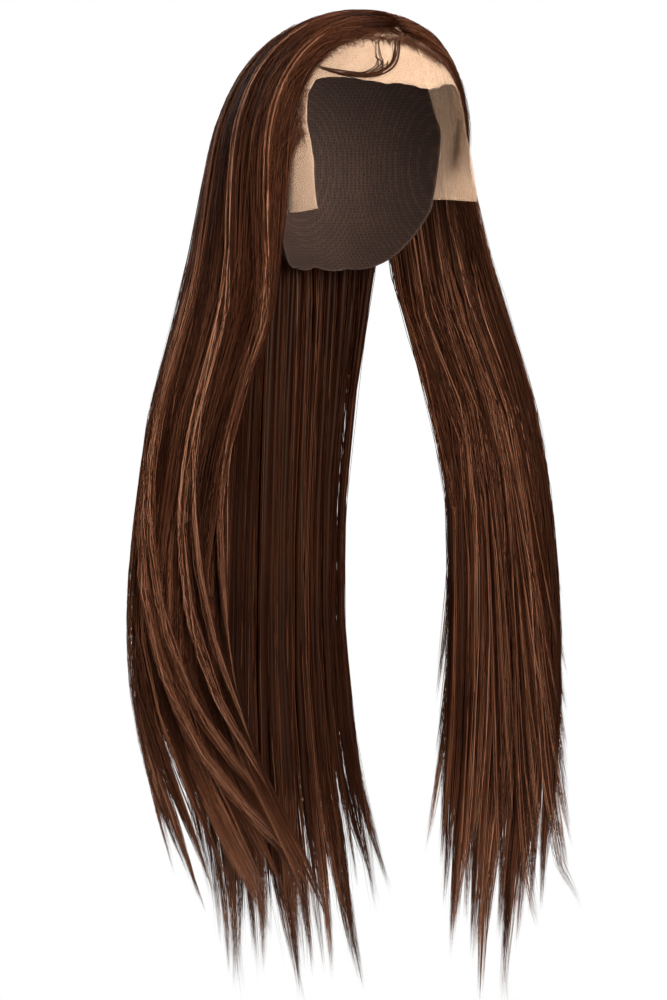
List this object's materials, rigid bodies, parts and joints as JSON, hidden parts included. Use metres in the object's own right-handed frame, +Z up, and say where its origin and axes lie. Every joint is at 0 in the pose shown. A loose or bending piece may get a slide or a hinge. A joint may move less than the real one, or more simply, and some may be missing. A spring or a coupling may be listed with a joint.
{
  "type": "wig",
  "caption": "Long straight dark brown lace-front wig with a centre parting: net cap, lace hairline, swept forelock and long pointed locks, one side over the shoulder.",
  "frame": {"origin": "inside top of the cap, where the crown of the head bears", "axes": "+Z up, the face opening looks toward -Y, +X is the wearer's left"},
  "size_m": [0.3541, 0.2327, 0.7996],
  "materials": {
    "hair": "glossy straight hair fibre",
    "cap_net": "matte knitted net",
    "lace": "sheer skin-tone lace"
  },
  "bodies": {
    "root": {"cap_net": "cap_net", "lace_front": "lace", "baby_hair": "hair", "right_lock_1": "hair", "right_lock_2": "hair", "right_lock_3": "hair", "right_lock_4": "hair", "right_lock_5": "hair", "right_lock_6": "hair", "back_lock_1": "hair", "back_lock_2": "hair", "back_lock_3": "hair", "back_lock_4": "hair", "back_lock_5": "hair", "back_lock_6": "hair", "left_lock_1": "hair", "left_lock_2": "hair", "left_lock_3": "hair", "left_lock_4": "hair", "left_lock_5": "hair", "left_lock_6": "hair", "nape_lock_1": "hair", "nape_lock_2": "hair", "nape_lock_3": "hair", "nape_lock_4": "hair"}
  },
  "joints": []
}
